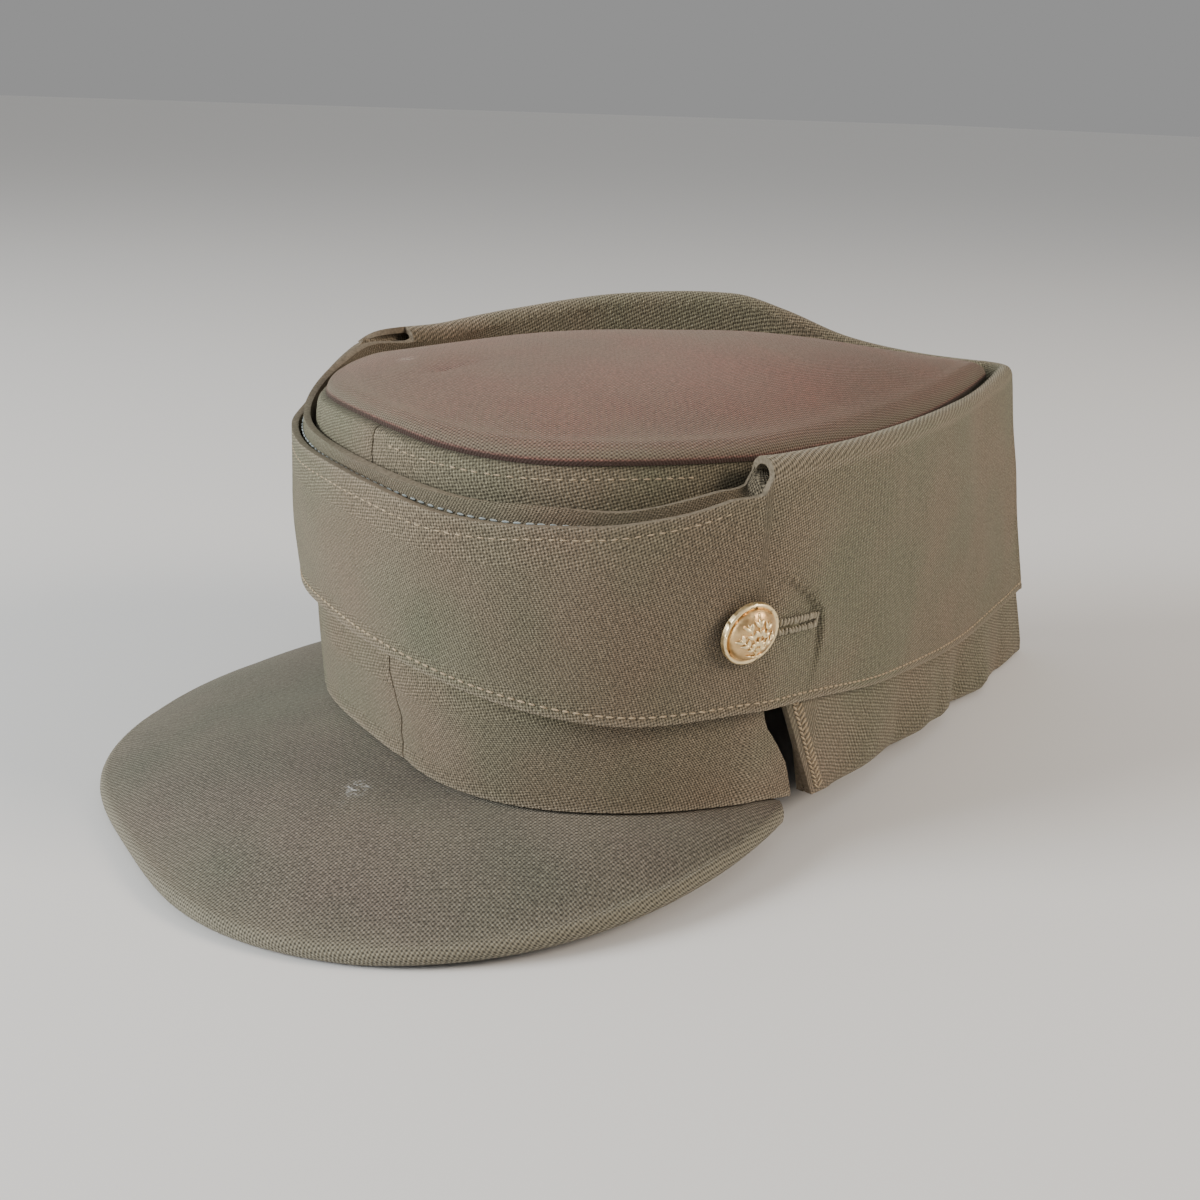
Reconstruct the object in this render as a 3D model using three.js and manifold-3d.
// Field cap of olive wool cloth: a pointed-oval crown, a cloth-covered peak and a folded-up
// ear and neck curtain that is buttoned at both sides.
// Millimetres. +Z up, the peak toward -Y, the wearer's left toward +X. The cap lies on its
// peak edge and on the rear end of its rim, so the floor is z = 0. The tables' y runs from the
// middle of the head, and the finished pieces are moved to the middle of the cap's length.

import * as THREE from 'three';
import { mergeVertices } from 'three/addons/utils/BufferGeometryUtils.js';
import Module from 'manifold-3d';

const wasm = await Module();
wasm.setup();

// Cloth and gaps
const WALL_CLOTH = 1.8;
const CURTAIN_CLOTH = 1.5;
const GAP = 0.3;

// Plan of the cap: a blunt oval in front of the ears, running to a point at the back crease
const FOLD_Y = -37.5;
const WIDEST_Y = -35;
const FRONT_POWER_NEAR = 2.5;
const FRONT_POWER_FAR = 2.06;
const FRONT_STATIONS = 13;
const REAR_STATIONS = 17;
const FRONT_GRADING = 1.4;
const CREASE_GRADING = 1.6;
const PLAN_STEPS = 400;
const MITRE_LIMIT = 0.6;
const MIDDLE_BLEND = 14;
const WELD = 1e-4;

// Shares of a layer's height at which it has a row of points
const CROWN_SHARES = [0, 0.15, 0.3, 0.65, 1];
const INNER_SHARES = [0, 0.17, 0.35, 0.7, 1];
const OUTER_SHARES = [0, 0.25, 0.5, 0.75, 1];

// Plan sizes of the cloth layers, outer faces, from the bottom of each layer to its top
const CROWN_LEVELS = [
  { at: 0.0, front: 95.8, rear: 116.3, half: 64.2, taper: 1.2, crease: 5 },
  { at: 0.3, front: 97.0, rear: 109.3, half: 64.6, taper: 1.22, crease: 5 },
  { at: 0.65, front: 97.0, rear: 100.6, half: 62.6, taper: 1.3, crease: 4 },
  { at: 1.0, front: 96.4, rear: 91.0, half: 60.0, taper: 1.4, crease: 3 },
];
const INNER_LEVELS = [
  { at: 0.0, front: 98.2, rear: 119.6, half: 66.4, taper: 1.2, crease: 6 },
  { at: 0.25, front: 99.1, rear: 113.4, half: 66.8, taper: 1.22, crease: 6 },
  { at: 0.6, front: 99.4, rear: 104.6, half: 66.7, taper: 1.3, crease: 6 },
  { at: 1.0, front: 98.9, rear: 96.6, half: 65.6, taper: 1.4, crease: 4 },
];
const OUTER_LEVELS = [
  { at: 0.0, front: 100.4, rear: 116.2, half: 68.9, taper: 1.2, crease: 7 },
  { at: 0.5, front: 101.7, rear: 107.2, half: 69.8, taper: 1.3, crease: 7 },
  { at: 1.0, front: 101.2, rear: 99.4, half: 69.8, taper: 1.4, crease: 7 },
];

// Heights round the cap; near is the wearer's left, far the right
const SEAM_HEIGHT = [
  { y: -97, near: 93.2, far: 93.2 },
  { y: -91, near: 91.4, far: 91.8 },
  { y: -63, near: 90.0, far: 90.4 },
  { y: -25, near: 88.3, far: 88.8 },
  { y: 35, near: 86.1, far: 86.6 },
  { y: 70, near: 86.0, far: 86.2 },
  { y: 91, near: 86.6, far: 86.6 },
];
const BAND_TOP_HEIGHT = [
  { y: -101, near: 80.6, far: 80.6 },
  { y: -95, near: 78.1, far: 81.0 },
  { y: -87, near: 77.4, far: 82.2 },
  { y: -80, near: 77.8, far: 86.0 },
  { y: -71, near: 78.1, far: 90.4 },
  { y: -64, near: 78.8, far: 93.0 },
  { y: -55, near: 80.0, far: 95.0 },
  { y: -46, near: 82.0, far: 95.0 },
];
const INNER_TOP_HEIGHT = [
  { y: -99, near: 83.3, far: 83.3 },
  { y: -95, near: 81.9, far: 83.6 },
  { y: -88, near: 80.5, far: 85.4 },
  { y: -76, near: 80.3, far: 89.2 },
  { y: -64, near: 79.8, far: 92.6 },
  { y: -46, near: 82.6, far: 93.0 },
];
const CREST_HEIGHT = [
  { y: -55, near: 89.0, far: 95.6 },
  { y: -40, near: 89.0, far: 95.8 },
  { y: -20, near: 88.8, far: 98.8 },
  { y: 7, near: 88.1, far: 103.0 },
  { y: 36, near: 87.2, far: 103.7 },
  { y: 49, near: 86.8, far: 99.7 },
  { y: 64, near: 86.5, far: 93.1 },
  { y: 81, near: 86.6, far: 89.2 },
  { y: 99, near: 87.4, far: 87.4 },
];
const BAND_HEM_HEIGHT = [
  { y: -101, near: 46.6, far: 46.6 },
  { y: -89, near: 42.2, far: 43.4 },
  { y: -66, near: 37.8, far: 39.6 },
  { y: -38, near: 36.8, far: 37.8 },
  { y: -16, near: 33.6, far: 33.6 },
  { y: 13, near: 27.9, far: 27.9 },
  { y: 52, near: 22.3, far: 22.3 },
  { y: 75, near: 20.8, far: 20.8 },
  { y: 119, near: 21.6, far: 21.6 },
];
const RIM_HEIGHT = [
  { y: -97, near: 22.0, far: 22.0 },
  { y: -90, near: 18.4, far: 18.4 },
  { y: -63, near: 16.6, far: 16.6 },
  { y: -32, near: 13.0, far: 13.0 },
  { y: -14, near: 8.8, far: 8.8 },
  { y: 20, near: 6.0, far: 6.0 },
  { y: 59, near: 3.4, far: 3.4 },
  { y: 90, near: 0.9, far: 0.9 },
  { y: 104, near: 0.0, far: 0.0 },
  { y: 121, near: 0.0, far: 0.0 },
];

// Domed top panel
const TOP_DOME = 12.4;
const TOP_CROSS_POWER = 2.2;
const TOP_LONG_POWER = 0.8;
const TOP_COLUMNS = 10;

// Roll of the curtain's fold, from the ears to the back crease
const ROLL_WIDTH = [
  { y: -40, near: 7.4, far: 7.2 },
  { y: -20, near: 6.0, far: 6.4 },
  { y: 40, near: 4.6, far: 5.0 },
  { y: 99, near: 4.0, far: 4.0 },
];
const ROLL_STEPS = 6;
const ROLL_OVERLAP = 4;
const ROLL_EASE = 0.12;
const FAR_FOLD_STATIONS_AHEAD = 2;

// Soft upright waves of the curtain behind the ears, fading out above this share of its height
const WAVES = [
  { y: 14, spread: 9, out: 0.9 },
  { y: 44, spread: 8, out: 1.1 },
  { y: 72, spread: 7, out: 0.8 },
];
const WAVE_TOP_SHARE = 0.3;

// Slit at each ear, seen from the side as y and z; cuts run past the cloth to these limits
const BELOW_FLOOR_Z = -5;
const BEYOND_SIDE_X = 100;
const AHEAD_OF_CAP_Y = -200;
const SLIT_FRONT = [
  { y: -31.5, z: 36 },
  { y: -30.2, z: 29.6 },
  { y: -26.2, z: 24.6 },
  { y: -22.4, z: 18.6 },
  { y: -20.4, z: 12 },
  { y: -20.0, z: BELOW_FLOOR_Z },
];
const SLIT_BACK = [
  { y: -8.0, z: BELOW_FLOOR_Z },
  { y: -21.0, z: 36 },
];
const INNER_FRONT_HEM_Z = 53;
const CURTAIN_HEM = [
  { y: -11.0, z: BELOW_FLOOR_Z },
  { y: -15.3, z: 9.9 },
  { y: -26.8, z: 34.7 },
  { y: -33.0, z: INNER_FRONT_HEM_Z },
];

// Front panel seams
const FRONT_SEAM_LOW = { x: 23.5, z: 10 };
const FRONT_SEAM_HIGH = { x: 14.5, z: 95 };
const FRONT_PANEL_BACK_Y = -60;
const FRONT_PANEL_REACH = 60;

// Peak
const PEAK_FRONT_Y = -146;
const PEAK_CORNER_Y = -25.4;
const PEAK_CORNER_OUT = 4.4;
const PEAK_BULGE = 14.5;
const PEAK_POWER = 3.4;
const PEAK_THICKNESS = 4.4;
const PEAK_DROP = 0.7;
const PEAK_REST_SHARE = 0.8;
const PEAK_ARCH = 1.6;
const PEAK_ARCH_RUN = 30;
const PEAK_STATIONS = 34;
const PEAK_ROWS = 5;
const PEAK_EDGE_STEPS = 4;

// Buttons and their holes, on the wearer's left; the right side mirrors them
const BUTTON_Y = -41.7;
const BUTTON_Z = 55.4;
const BUTTON_LEAN = THREE.MathUtils.degToRad(9);
const BUTTON_RADIUS = 6.6;
const BUTTON_DOME = 2.6;
const BUTTON_RIM = 0.8;
const BUTTON_RIM_HEIGHT = 1.1;
const BUTTON_STAND = 0.9;
const BUTTON_BACK_CHAMFER = { in: 0.5, rise: 0.4 };
const BUTTON_RIM_ROUND = { in: 0.25, rise: 0.3 };
const BUTTON_GROOVE = { width: 0.3, rise: 0.9 };
const BUTTON_RIM_FALL = 0.2;
const BUTTON_DOME_STEPS = 6;
const SHANK_RADIUS = 1.3;
const BUTTON_SEGMENTS = 28;
const HOLE_END_Y = -20.6;
const HOLE_END_Z = 53.0;
const HOLE_HEIGHT = 1.5;
const HOLE_DEPTH = 12;
const SHANK_HOLE_RADIUS = 2.1;
const SHANK_HOLE_SIDES = 16;
const BAND_HALF_AT_BUTTON = 69.6;

// Materials
const CLOTH = new THREE.MeshStandardMaterial({ color: 0x5a4f38, roughness: 0.92, metalness: 0 });
const PEAK_CLOTH = new THREE.MeshStandardMaterial({ color: 0x57503c, roughness: 0.92, metalness: 0 });
const GILT = new THREE.MeshStandardMaterial({ color: 0xb79a5a, roughness: 0.35, metalness: 1 });

// Height or width read from a table by y, blended from far to near across the middle
function readTable(rows, x, y) {
  const blend = THREE.MathUtils.smoothstep(x, -MIDDLE_BLEND, MIDDLE_BLEND);
  let k = 0;
  while (k < rows.length - 2 && y > rows[k + 1].y) k += 1;
  const a = rows[k];
  const b = rows[k + 1];
  const s = THREE.MathUtils.clamp((y - a.y) / (b.y - a.y), 0, 1);
  const near = THREE.MathUtils.lerp(a.near, b.near, s);
  const far = THREE.MathUtils.lerp(a.far, b.far, s);
  return THREE.MathUtils.lerp(far, near, blend);
}

// Points cut from a dense line at the given shares of its length
function cutLine(points, shares) {
  const lengths = [0];
  for (let i = 1; i < points.length; i += 1) {
    lengths.push(lengths[i - 1] + points[i].distanceTo(points[i - 1]));
  }
  const total = lengths[lengths.length - 1];
  let k = 0;
  return shares.map((share) => {
    const target = share * total;
    while (k < points.length - 2 && lengths[k + 1] < target) k += 1;
    const s = (target - lengths[k]) / (lengths[k + 1] - lengths[k]);
    return points[k].clone().lerp(points[k + 1], THREE.MathUtils.clamp(s, 0, 1));
  });
}

// Half width of a level at y: blunt front, tapering back, round crease at the rear end
function halfWidth(level, y, power) {
  if (y <= WIDEST_Y) {
    const s = (WIDEST_Y - y) / (level.front + WIDEST_Y);
    return level.half * Math.max(0, 1 - s ** power) ** (1 / power);
  }
  const reach = level.rear - WIDEST_Y;
  const slope = Math.atan((level.half * level.taper) / reach);
  const point = level.rear + level.crease * (1 / Math.sin(slope) - 1) - WIDEST_Y;
  const centre = level.rear - level.crease;
  if (y > centre + level.crease * Math.sin(slope)) {
    return Math.sqrt(Math.max(0, level.crease ** 2 - (y - centre) ** 2));
  }
  return level.half * (1 - ((y - WIDEST_Y) / point) ** level.taper);
}

// Half loop of a level from the front middle to the rear crease
function halfLoop(level, power) {
  const front = [];
  const rear = [];
  for (let i = 0; i <= PLAN_STEPS; i += 1) {
    const turn = 0.5 - 0.5 * Math.cos((Math.PI * i) / PLAN_STEPS);
    const yf = THREE.MathUtils.lerp(-level.front, FOLD_Y, turn ** FRONT_GRADING);
    const yr = THREE.MathUtils.lerp(FOLD_Y, level.rear, turn);
    front.push(new THREE.Vector2(halfWidth(level, yf, power), yf));
    rear.push(new THREE.Vector2(halfWidth(level, yr, power), yr));
  }
  const frontShares = [];
  for (let i = 0; i < FRONT_STATIONS; i += 1) frontShares.push(i / FRONT_STATIONS);
  const rearShares = [];
  for (let i = 0; i <= REAR_STATIONS; i += 1) {
    rearShares.push(1 - (1 - i / REAR_STATIONS) ** CREASE_GRADING);
  }
  return [...cutLine(front, frontShares), ...cutLine(rear, rearShares)];
}

// Whole loop, counter-clockwise from above, starting at the front middle
function fullLoop(level) {
  const near = halfLoop(level, FRONT_POWER_NEAR);
  const far = halfLoop(level, FRONT_POWER_FAR).slice(1, -1).reverse();
  return [...near, ...far.map((p) => new THREE.Vector2(-p.x, p.y))];
}

// Outward directions of a loop, scaled so that an offset keeps its true distance
function loopNormals(loop) {
  const count = loop.length;
  return loop.map((p, i) => {
    const before = p.clone().sub(loop[(i + count - 1) % count]).normalize();
    const after = loop[(i + 1) % count].clone().sub(p).normalize();
    const a = new THREE.Vector2(before.y, -before.x);
    const b = new THREE.Vector2(after.y, -after.x);
    const mean = a.clone().add(b).normalize();
    return mean.divideScalar(Math.max(MITRE_LIMIT, mean.dot(a)));
  });
}

// A layer's outer face as plan loops, one for each of its levels
function layerLoops(levels) {
  return levels.map((level) => {
    const loop = fullLoop(level);
    return { at: level.at, loop, normals: loopNormals(loop) };
  });
}

// Point on a layer at a station and a share of its height, set in by a depth
function layerPoint(loops, station, share, depth, z) {
  let k = 0;
  while (k < loops.length - 2 && share > loops[k + 1].at) k += 1;
  const s = (share - loops[k].at) / (loops[k + 1].at - loops[k].at);
  const p = loops[k].loop[station].clone().lerp(loops[k + 1].loop[station], s);
  const n = loops[k].normals[station].clone().lerp(loops[k + 1].normals[station], s);
  return new THREE.Vector3(p.x - n.x * depth, p.y - n.y * depth, z);
}

// Indexed geometry of stitched sections; each section is a closed ring of points
function loft(sections, closed, capFaces) {
  const ring = sections[0].length;
  const positions = sections.flat().flatMap((p) => [p.x, p.y, p.z]);
  const index = [];
  const spans = closed ? sections.length : sections.length - 1;
  for (let i = 0; i < spans; i += 1) {
    const next = (i + 1) % sections.length;
    for (let j = 0; j < ring; j += 1) {
      const a = i * ring + j;
      const b = i * ring + ((j + 1) % ring);
      const c = next * ring + j;
      const d = next * ring + ((j + 1) % ring);
      index.push(a, c, b, b, c, d);
    }
  }
  if (!closed) {
    const last = (sections.length - 1) * ring;
    for (const [a, b, c] of capFaces) {
      index.push(a, b, c);
      index.push(last + a, last + c, last + b);
    }
  }
  const geometry = new THREE.BufferGeometry();
  geometry.setAttribute('position', new THREE.Float32BufferAttribute(positions, 3));
  geometry.setIndex(index);
  return geometry;
}

function signedVolume(geometry) {
  const p = geometry.getAttribute('position');
  const index = geometry.getIndex();
  const [a, b, c] = [new THREE.Vector3(), new THREE.Vector3(), new THREE.Vector3()];
  let sum = 0;
  for (let i = 0; i < index.count; i += 3) {
    a.fromBufferAttribute(p, index.getX(i));
    b.fromBufferAttribute(p, index.getX(i + 1));
    c.fromBufferAttribute(p, index.getX(i + 2));
    sum += a.dot(b.cross(c)) / 6;
  }
  return sum;
}

// Closed solid from a geometry, faces turned outward
function toSolid(geometry) {
  const bare = geometry.clone();
  bare.deleteAttribute('normal');
  bare.deleteAttribute('uv');
  const merged = mergeVertices(bare, WELD);
  const index = merged.getIndex();
  const kept = [];
  for (let i = 0; i < index.count; i += 3) {
    const face = [index.getX(i), index.getX(i + 1), index.getX(i + 2)];
    if (new Set(face).size === 3) kept.push(...face);
  }
  merged.setIndex(kept);
  const turned = signedVolume(merged) < 0;
  const faces = merged.getIndex().array;
  const tris = new Uint32Array(faces.length);
  for (let i = 0; i < faces.length; i += 3) {
    tris[i] = faces[i];
    tris[i + 1] = turned ? faces[i + 2] : faces[i + 1];
    tris[i + 2] = turned ? faces[i + 1] : faces[i + 2];
  }
  const positions = new Float32Array(merged.getAttribute('position').array);
  return new wasm.Manifold(new wasm.Mesh({ numProp: 3, vertProperties: positions, triVerts: tris }));
}

function toGeometry(solid) {
  const mesh = solid.getMesh();
  const geometry = new THREE.BufferGeometry();
  geometry.setAttribute('position', new THREE.BufferAttribute(new Float32Array(mesh.vertProperties), 3));
  geometry.setIndex(new THREE.BufferAttribute(new Uint32Array(mesh.triVerts), 1));
  geometry.computeVertexNormals();
  return geometry;
}

// Named piece, moved back so that the middle of the cap's length is at y = 0
function named(name, solid, material) {
  const geometry = toGeometry(solid);
  geometry.translate(0, -(PEAK_FRONT_Y + INNER_LEVELS[0].rear) / 2, 0);
  const mesh = new THREE.Mesh(geometry, material);
  mesh.name = name;
  return mesh;
}

// Block with a side outline in y and z, running across the cap along X
function sideBlock(outline) {
  const shape = new THREE.Shape(outline.map((p) => new THREE.Vector2(p.y, p.z)));
  const geometry = new THREE.ExtrudeGeometry(shape, { depth: 2 * BEYOND_SIDE_X, bevelEnabled: false });
  geometry.applyMatrix4(new THREE.Matrix4().makeBasis(
    new THREE.Vector3(0, 1, 0),
    new THREE.Vector3(0, 0, 1),
    new THREE.Vector3(1, 0, 0),
  ));
  geometry.translate(-BEYOND_SIDE_X, 0, 0);
  return toSolid(geometry);
}

// Ring of cloth between two height rules, with the given thickness
function clothRing(loops, shares, thickness, heightAt, outward) {
  const count = loops[0].loop.length;
  const sections = [];
  for (let i = 0; i < count; i += 1) {
    const face = (depth) => shares.map((share) => {
      const mid = layerPoint(loops, i, share, 0, 0);
      const z = heightAt(mid.x, mid.y, share, i);
      const wave = outward ? outward(mid.y, share) : 0;
      return layerPoint(loops, i, share, depth - wave, z);
    });
    sections.push([...face(0), ...face(thickness).reverse()]);
  }
  return toSolid(loft(sections, true));
}

const crownLoops = layerLoops(CROWN_LEVELS);
const innerLoops = layerLoops(INNER_LEVELS);
const outerLoops = layerLoops(OUTER_LEVELS);
const loopCount = crownLoops[0].loop.length;
const nearFold = FRONT_STATIONS;
const farFold = loopCount - FRONT_STATIONS + FAR_FOLD_STATIONS_AHEAD;

function insideFold(station) {
  return station >= nearFold && station <= farFold;
}

// Side wall of the crown, closed all round but for a slit at each ear
function crownHeight(x, y, share) {
  const low = readTable(RIM_HEIGHT, x, y) + (y > 0 ? GAP : 0);
  const high = readTable(SEAM_HEIGHT, x, y) - WALL_CLOTH - GAP;
  return THREE.MathUtils.lerp(low, high, share);
}

function makeCrownWall() {
  const ring = clothRing(crownLoops, CROWN_SHARES, WALL_CLOTH, crownHeight);
  const slit = sideBlock([...SLIT_FRONT, ...SLIT_BACK]);
  return ring.subtract(slit);
}

// Wedge in front of the cap between the two front seams
function frontWedge(grow) {
  const shape = new THREE.Shape([
    new THREE.Vector2(-FRONT_SEAM_LOW.x - grow, FRONT_SEAM_LOW.z),
    new THREE.Vector2(FRONT_SEAM_LOW.x + grow, FRONT_SEAM_LOW.z),
    new THREE.Vector2(FRONT_SEAM_HIGH.x + grow, FRONT_SEAM_HIGH.z),
    new THREE.Vector2(-FRONT_SEAM_HIGH.x - grow, FRONT_SEAM_HIGH.z),
  ]);
  const geometry = new THREE.ExtrudeGeometry(shape, { depth: FRONT_PANEL_REACH, bevelEnabled: false });
  geometry.rotateX(Math.PI / 2);
  geometry.translate(0, FRONT_PANEL_BACK_Y, 0);
  return toSolid(geometry);
}

// Domed top panel: rows across the cap, from the front middle to the rear point
function makeCrownTop() {
  const level = CROWN_LEVELS[CROWN_LEVELS.length - 1];
  const near = halfLoop(level, FRONT_POWER_NEAR);
  const far = halfLoop(level, FRONT_POWER_FAR);
  const upper = [];
  const lower = [];
  for (let i = 0; i < near.length; i += 1) {
    const middle = (near[i].y + far[i].y) / 2;
    const along = (middle + level.front) / (level.rear + level.front);
    const rise = TOP_DOME * Math.sin(Math.PI * THREE.MathUtils.clamp(along, 0, 1)) ** TOP_LONG_POWER;
    const top = [];
    const under = [];
    for (let j = 0; j <= TOP_COLUMNS; j += 1) {
      const q = -Math.cos((Math.PI * j) / TOP_COLUMNS);
      const end = q > 0 ? near[i] : far[i];
      const x = q * end.x;
      const y = THREE.MathUtils.lerp(middle, end.y, Math.abs(q));
      const z = readTable(SEAM_HEIGHT, x, y) + rise * (1 - Math.abs(q) ** TOP_CROSS_POWER);
      top.push(new THREE.Vector3(x, y, z));
      under.push(new THREE.Vector3(x, y, z - WALL_CLOTH));
    }
    upper.push(top);
    lower.push(under);
  }
  const sections = upper.map((top, i) => [...top, ...lower[i].reverse()]);
  const caps = [];
  for (let j = 0; j < TOP_COLUMNS; j += 1) {
    const across = 2 * TOP_COLUMNS + 1;
    caps.push([j, j + 1, across - j], [j + 1, across - j - 1, across - j]);
  }
  return toSolid(loft(sections, false, caps));
}

// Ear and neck curtain: inner layer, outer band and the roll that joins them behind the ears
function rollHalf(x, y) {
  return readTable(ROLL_WIDTH, x, y) / 2;
}

function waveAt(y, share) {
  const low = 1 - THREE.MathUtils.smoothstep(share, 0, WAVE_TOP_SHARE);
  let sum = 0;
  for (const wave of WAVES) sum += wave.out * Math.exp(-(((y - wave.y) / wave.spread) ** 2));
  return low * sum;
}

function innerTop(x, y, station) {
  if (insideFold(station)) return readTable(CREST_HEIGHT, x, y) - rollHalf(x, y);
  return readTable(INNER_TOP_HEIGHT, x, y);
}

function outerTop(x, y, station) {
  if (insideFold(station)) return readTable(CREST_HEIGHT, x, y) - rollHalf(x, y);
  return readTable(BAND_TOP_HEIGHT, x, y);
}

// Roll of the fold: an arch of cloth from the band over to the inner layer
function makeRoll() {
  const top = outerLoops[outerLoops.length - 1];
  const sections = [];
  for (let i = nearFold; i <= farFold; i += 1) {
    const p = top.loop[i];
    const n = top.normals[i];
    const half = rollHalf(p.x, p.y);
    const spring = readTable(CREST_HEIGHT, p.x, p.y) - half;
    const section = [];
    const put = (depth, z) => section.push(new THREE.Vector3(p.x - n.x * depth, p.y - n.y * depth, z));
    put(-ROLL_EASE, spring - ROLL_OVERLAP);
    for (let j = 0; j <= ROLL_STEPS; j += 1) {
      const turn = (Math.PI * j) / ROLL_STEPS;
      put(half - (half + ROLL_EASE) * Math.cos(turn), spring + half * Math.sin(turn));
    }
    put(2 * half + ROLL_EASE, spring - ROLL_OVERLAP);
    const bore = half - CURTAIN_CLOTH - ROLL_EASE;
    put(half + bore, spring - ROLL_OVERLAP);
    for (let j = ROLL_STEPS; j >= 0; j -= 1) {
      const turn = (Math.PI * j) / ROLL_STEPS;
      put(half - bore * Math.cos(turn), spring + bore * Math.sin(turn));
    }
    put(half - bore, spring - ROLL_OVERLAP);
    sections.push(section);
  }
  const caps = [];
  const leg = ROLL_STEPS + 3;
  for (let j = 0; j < leg - 1; j += 1) {
    const across = 2 * leg - 1;
    caps.push([j, j + 1, across - j], [j + 1, across - j - 1, across - j]);
  }
  return toSolid(loft(sections, false, caps));
}

// Plan loops of the inner layer, with its top drawn onto the roll's inner leg
function innerLayerLoops() {
  const top = outerLoops[outerLoops.length - 1];
  const loops = innerLoops.map((level) => ({ ...level, loop: level.loop.map((p) => p.clone()) }));
  const last = loops[loops.length - 1];
  for (let i = nearFold; i <= farFold; i += 1) {
    const p = top.loop[i];
    const depth = 2 * rollHalf(p.x, p.y) - CURTAIN_CLOTH;
    last.loop[i].copy(p).addScaledVector(top.normals[i], -depth);
  }
  last.normals = loopNormals(last.loop);
  return loops;
}

function makeCurtain() {
  const innerHeight = (x, y, share, station) => (
    THREE.MathUtils.lerp(readTable(RIM_HEIGHT, x, y), innerTop(x, y, station), share)
  );
  const outerHeight = (x, y, share, station) => (
    THREE.MathUtils.lerp(readTable(BAND_HEM_HEIGHT, x, y), outerTop(x, y, station), share)
  );
  const inner = clothRing(innerLayerLoops(), INNER_SHARES, CURTAIN_CLOTH, innerHeight, waveAt);
  const outer = clothRing(outerLoops, OUTER_SHARES, CURTAIN_CLOTH, outerHeight);
  const aheadOfEars = [
    { y: AHEAD_OF_CAP_Y, z: BELOW_FLOOR_Z },
    ...CURTAIN_HEM,
    { y: AHEAD_OF_CAP_Y, z: INNER_FRONT_HEM_Z },
  ];
  const layer = inner.subtract(sideBlock(aheadOfEars));
  const band = outer.subtract(buttonHole(1)).subtract(buttonHole(-1));
  return layer.add(band).add(makeRoll());
}

// Long thin hole from the button back toward the crease, with room for the shank
function buttonHole(side) {
  const length = Math.hypot(HOLE_END_Y - BUTTON_Y, HOLE_END_Z - BUTTON_Z);
  const slot = new THREE.BoxGeometry(HOLE_DEPTH, length, HOLE_HEIGHT);
  slot.rotateX(Math.atan2(HOLE_END_Z - BUTTON_Z, HOLE_END_Y - BUTTON_Y));
  slot.translate(
    side * BAND_HALF_AT_BUTTON,
    (BUTTON_Y + HOLE_END_Y) / 2,
    (BUTTON_Z + HOLE_END_Z) / 2,
  );
  const round = new THREE.CylinderGeometry(
    SHANK_HOLE_RADIUS,
    SHANK_HOLE_RADIUS,
    HOLE_DEPTH,
    SHANK_HOLE_SIDES,
  );
  round.rotateZ(Math.PI / 2);
  round.translate(side * BAND_HALF_AT_BUTTON, BUTTON_Y, BUTTON_Z);
  return toSolid(slot).add(toSolid(round));
}

// Domed metal button with a raised rim, on a shank through the hole
function makeButton(side) {
  const back = BUTTON_STAND;
  const rimTop = back + BUTTON_RIM_HEIGHT;
  const groove = BUTTON_RADIUS - BUTTON_RIM - BUTTON_GROOVE.width;
  const profile = [
    new THREE.Vector2(0, -CURTAIN_CLOTH - GAP),
    new THREE.Vector2(SHANK_RADIUS, -CURTAIN_CLOTH - GAP),
    new THREE.Vector2(SHANK_RADIUS, back),
    new THREE.Vector2(BUTTON_RADIUS - BUTTON_BACK_CHAMFER.in, back),
    new THREE.Vector2(BUTTON_RADIUS, back + BUTTON_BACK_CHAMFER.rise),
    new THREE.Vector2(BUTTON_RADIUS, rimTop),
    new THREE.Vector2(BUTTON_RADIUS - BUTTON_RIM_ROUND.in, rimTop + BUTTON_RIM_ROUND.rise),
    new THREE.Vector2(BUTTON_RADIUS - BUTTON_RIM, rimTop + BUTTON_RIM_ROUND.rise - BUTTON_RIM_FALL),
  ];
  for (let j = 0; j <= BUTTON_DOME_STEPS; j += 1) {
    const turn = (Math.PI / 2) * (j / BUTTON_DOME_STEPS);
    const rise = BUTTON_GROOVE.rise + BUTTON_DOME * Math.sin(turn);
    profile.push(new THREE.Vector2(groove * Math.cos(turn), back + rise));
  }
  const geometry = new THREE.LatheGeometry(profile, BUTTON_SEGMENTS);
  geometry.rotateZ(-Math.PI / 2 - BUTTON_LEAN);
  if (side < 0) geometry.rotateY(Math.PI);
  geometry.translate(side * BAND_HALF_AT_BUTTON, BUTTON_Y, BUTTON_Z);
  return toSolid(geometry);
}

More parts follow.
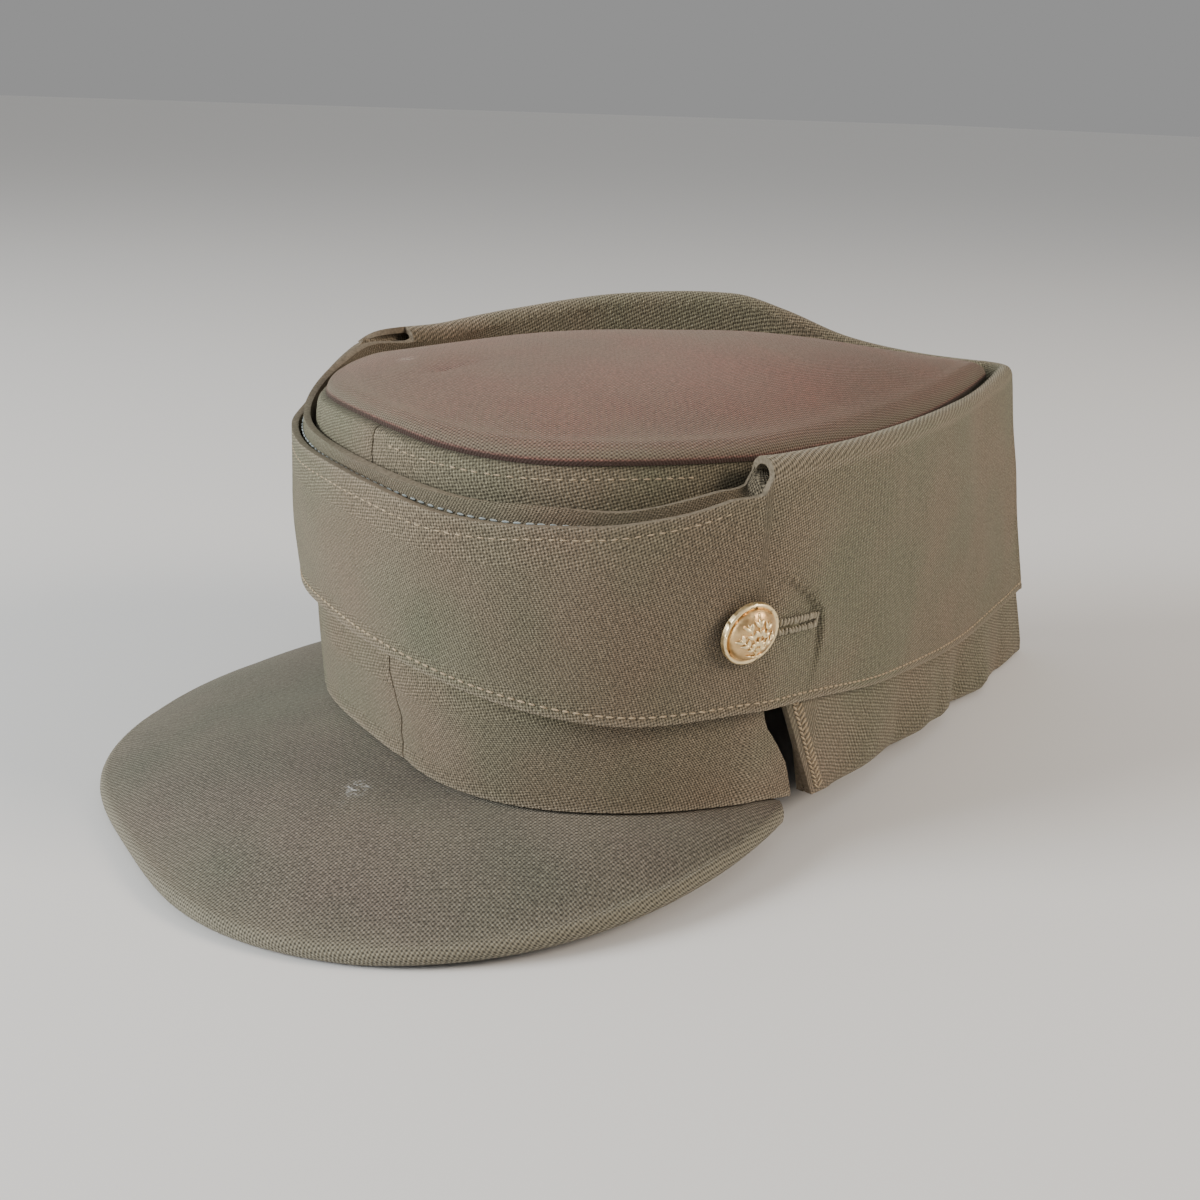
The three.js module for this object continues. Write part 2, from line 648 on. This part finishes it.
// Peak: root under the crown wall, surface sloping to a rounded edge that lies on the floor
function makePeak() {
  const rim = fullLoop(CROWN_LEVELS[0]);
  const normals = loopNormals(rim);
  const root = [];
  const count = rim.length;
  let corner = 0;
  while (rim[corner].y < PEAK_CORNER_Y) corner += 1;
  for (let k = -corner; k <= corner; k += 1) root.push((k + count) % count);
  const dense = root.map((i) => rim[i].clone());
  const denseIn = root.map((i) => rim[i].clone().addScaledVector(normals[i], -WALL_CLOTH));
  const shares = [];
  for (let i = 0; i <= PEAK_STATIONS; i += 1) shares.push(i / PEAK_STATIONS);
  const outerRoot = cutLine(dense, shares);
  const innerRoot = cutLine(denseIn, shares);
  const cornerX = outerRoot[PEAK_STATIONS].x + PEAK_CORNER_OUT;
  const reach = PEAK_CORNER_Y - PEAK_FRONT_Y;
  const edge = [];
  for (let i = 0; i <= 4 * PEAK_STATIONS; i += 1) {
    const turn = Math.PI * (i / (4 * PEAK_STATIONS) - 0.5);
    const across = Math.sign(Math.sin(turn)) * Math.abs(Math.sin(turn)) ** (2 / PEAK_POWER);
    const forward = Math.abs(Math.cos(turn)) ** (2 / PEAK_POWER);
    const swell = 1 + (PEAK_BULGE / cornerX) * 4 * forward * (1 - forward);
    edge.push(new THREE.Vector2(cornerX * across * swell, PEAK_CORNER_Y - reach * forward));
  }
  const rimEdge = cutLine(edge, shares);
  const half = PEAK_THICKNESS / 2;
  const sections = [];
  for (let i = 0; i <= PEAK_STATIONS; i += 1) {
    const a = outerRoot[i];
    const b = rimEdge[i];
    const run = b.clone().sub(a);
    const out = run.clone().normalize();
    const rootZ = readTable(RIM_HEIGHT, a.x, a.y) - PEAK_DROP - half;
    const cornerZ = readTable(RIM_HEIGHT, a.x, PEAK_CORNER_Y) - PEAK_DROP - half;
    const share = (PEAK_CORNER_Y - b.y) / reach;
    const lift = Math.max(0, 1 - share / PEAK_REST_SHARE);
    const edgeZ = half + (cornerZ - half) * lift;
    const arch = PEAK_ARCH * Math.min(1, run.length() / PEAK_ARCH_RUN);
    const top = [new THREE.Vector3(innerRoot[i].x, innerRoot[i].y, rootZ + half)];
    const under = [new THREE.Vector3(innerRoot[i].x, innerRoot[i].y, rootZ - half)];
    for (let j = 0; j <= PEAK_ROWS; j += 1) {
      const s = j / PEAK_ROWS;
      const p = a.clone().addScaledVector(run, s).addScaledVector(out, -half * s);
      const z = THREE.MathUtils.lerp(rootZ, edgeZ, s) + arch * Math.sin(Math.PI * s);
      top.push(new THREE.Vector3(p.x, p.y, z + half));
      under.push(new THREE.Vector3(p.x, p.y, z - half));
    }
    const round = [];
    for (let j = 1; j < PEAK_EDGE_STEPS; j += 1) {
      const turn = Math.PI * (0.5 - j / PEAK_EDGE_STEPS);
      const p = b.clone().addScaledVector(out, -half + half * Math.cos(turn));
      round.push(new THREE.Vector3(p.x, p.y, edgeZ + half * Math.sin(turn)));
    }
    sections.push([...top, ...round, ...under.reverse()]);
  }
  const ring = sections[0].length;
  const caps = [];
  for (let j = 0; j < ring / 2 - 1; j += 1) {
    const across = ring - 1;
    caps.push([j, j + 1, across - j], [j + 1, across - j - 1, across - j]);
  }
  return toSolid(loft(sections, false, caps));
}

const wall = makeCrownWall();
const group = new THREE.Group();
group.add(named('crown_top', makeCrownTop(), CLOTH));
group.add(named('crown_front', wall.intersect(frontWedge(0)), CLOTH));
group.add(named('crown_sides', wall.subtract(frontWedge(GAP)), CLOTH));
group.add(named('ear_curtain', makeCurtain(), CLOTH));
group.add(named('peak', makePeak(), PEAK_CLOTH));
group.add(named('button_left', makeButton(1), GILT));
group.add(named('button_right', makeButton(-1), GILT));

export default group;
